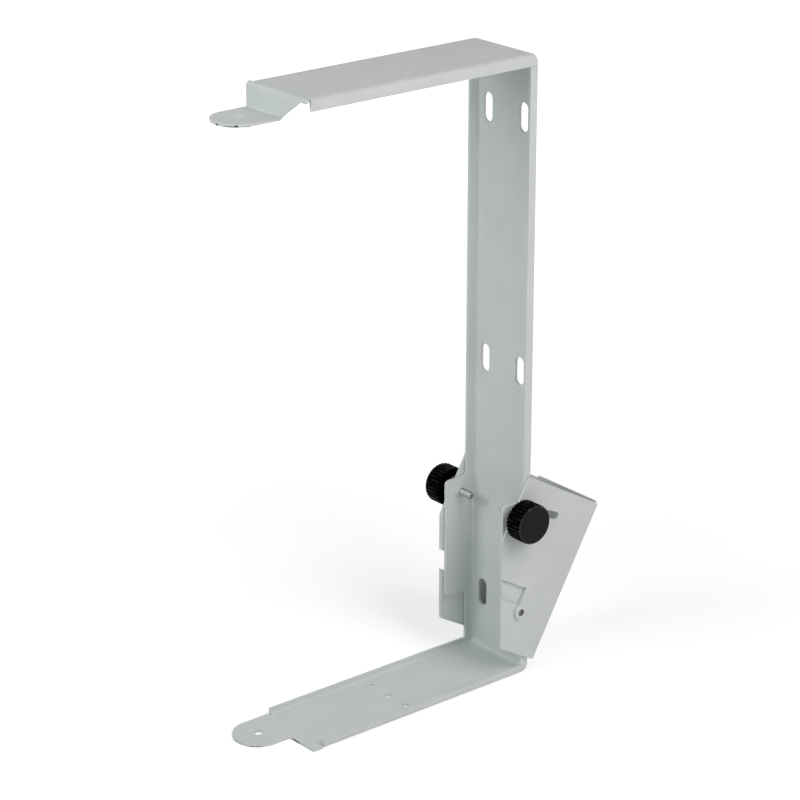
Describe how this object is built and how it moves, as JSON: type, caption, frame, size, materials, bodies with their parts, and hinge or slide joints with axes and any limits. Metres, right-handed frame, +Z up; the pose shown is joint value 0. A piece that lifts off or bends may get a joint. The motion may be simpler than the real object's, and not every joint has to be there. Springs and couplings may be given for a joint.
{
  "type": "speaker wall bracket",
  "caption": "Tilting wall bracket for a loudspeaker: a folded C-shaped steel frame pivots in a folded wall bracket and is clamped by hand knobs.",
  "frame": {"origin": "on the underside of the lower arm, midway across, straight below the tilt axis", "axes": "+Z up the frame, -Y away from the wall along the arms, X across the bracket along the tilt axis"},
  "size_m": [0.0994, 0.2877, 0.44],
  "materials": {
    "painted_steel": "light grey powder coat, slightly textured, satin",
    "zinc_steel": "bright zinc plate",
    "black_plastic": "black moulded plastic, satin"
  },
  "bodies": {
    "wall_side": {"wall_bracket": "painted_steel"},
    "frame_side": {"speaker_frame": "painted_steel", "pivot_screw_right": "zinc_steel", "pivot_screw_left": "zinc_steel", "clamp_nut_right": "zinc_steel", "clamp_nut_left": "zinc_steel"},
    "right_clamp": {"knob_right": "black_plastic", "knob_stud_right": "zinc_steel", "clamp_washer_right": "zinc_steel"},
    "left_clamp": {"knob_left": "black_plastic", "knob_stud_left": "zinc_steel", "clamp_washer_left": "zinc_steel"}
  },
  "joints": [
    {"name": "tilt", "type": "hinge", "parent": "wall_side", "child": "frame_side", "pos_m": [0, 0, 0.0505], "axis": [-1, 0, 0], "range_deg": [0, 28.5]},
    {"name": "right_knob_turn", "type": "hinge", "parent": "frame_side", "child": "right_clamp", "pos_m": [0.04, -0.00148, 0.12098], "axis": [1, 0, 0], "continuous": true},
    {"name": "left_knob_turn", "type": "hinge", "parent": "frame_side", "child": "left_clamp", "pos_m": [-0.04, -0.00148, 0.12098], "axis": [-1, 0, 0], "continuous": true}
  ]
}
